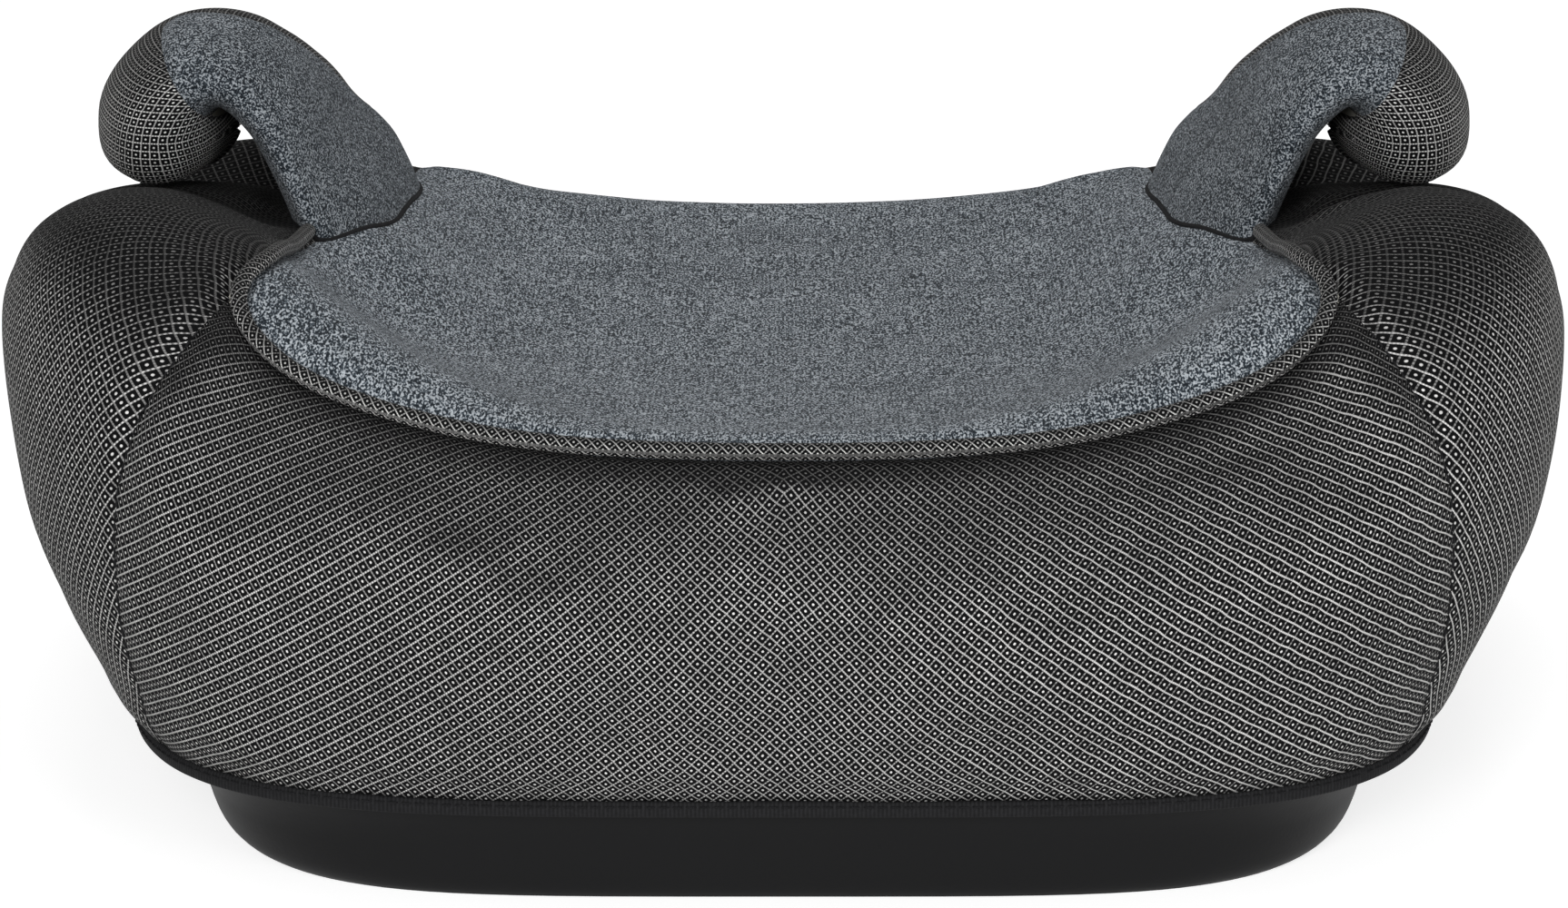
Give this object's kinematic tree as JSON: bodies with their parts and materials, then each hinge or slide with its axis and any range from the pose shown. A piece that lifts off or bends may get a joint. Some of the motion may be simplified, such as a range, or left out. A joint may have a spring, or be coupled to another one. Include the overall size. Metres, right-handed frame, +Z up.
{
  "type": "child booster seat",
  "caption": "Backless child booster seat with padded bolsters, hooked armrest horns over lap-belt gaps, a sewn knit cover and a ribbed plastic base.",
  "frame": {"origin": "on the floor plane under the middle of the seat, at the centre of its plan box", "axes": "+X across the seat towards the occupant's left, -Y to the front edge, +Z up"},
  "size_m": [0.4432, 0.3728, 0.2028],
  "materials": {
    "base_plastic": "satin black moulded polypropylene",
    "core_plastic": "moulded polypropylene, hidden",
    "screw_steel": "zinc-plated steel",
    "pad_foam": "open-cell polyurethane foam, hidden",
    "mesh_knit": "black mesh knit with a light grey lattice and a dot in every cell",
    "melange_knit": "blue-grey melange knit",
    "piping_knit": "cord covered with black and grey mesh",
    "hem_tape": "black woven tape",
    "elastic": "black elastic, hidden"
  },
  "bodies": {
    "root": {"base_shell": "base_plastic", "seat_foam": "pad_foam", "front_foam": "pad_foam", "rear_foam": "pad_foam", "bolster_foam_left": "pad_foam", "bolster_foam_right": "pad_foam", "horn_core_left": "core_plastic", "horn_core_right": "core_plastic", "horn_screws": "screw_steel", "horn_foam_left": "pad_foam", "horn_foam_right": "pad_foam", "horn_sleeve_left": "mesh_knit", "horn_sleeve_right": "mesh_knit", "horn_insert_left": "melange_knit", "horn_insert_right": "melange_knit", "seat_panel": "melange_knit", "front_panel": "mesh_knit", "rear_panel": "mesh_knit", "side_panel_left": "mesh_knit", "side_panel_right": "mesh_knit", "seat_piping": "piping_knit", "hem_binding": "hem_tape", "hem_elastic": "elastic"}
  },
  "joints": []
}
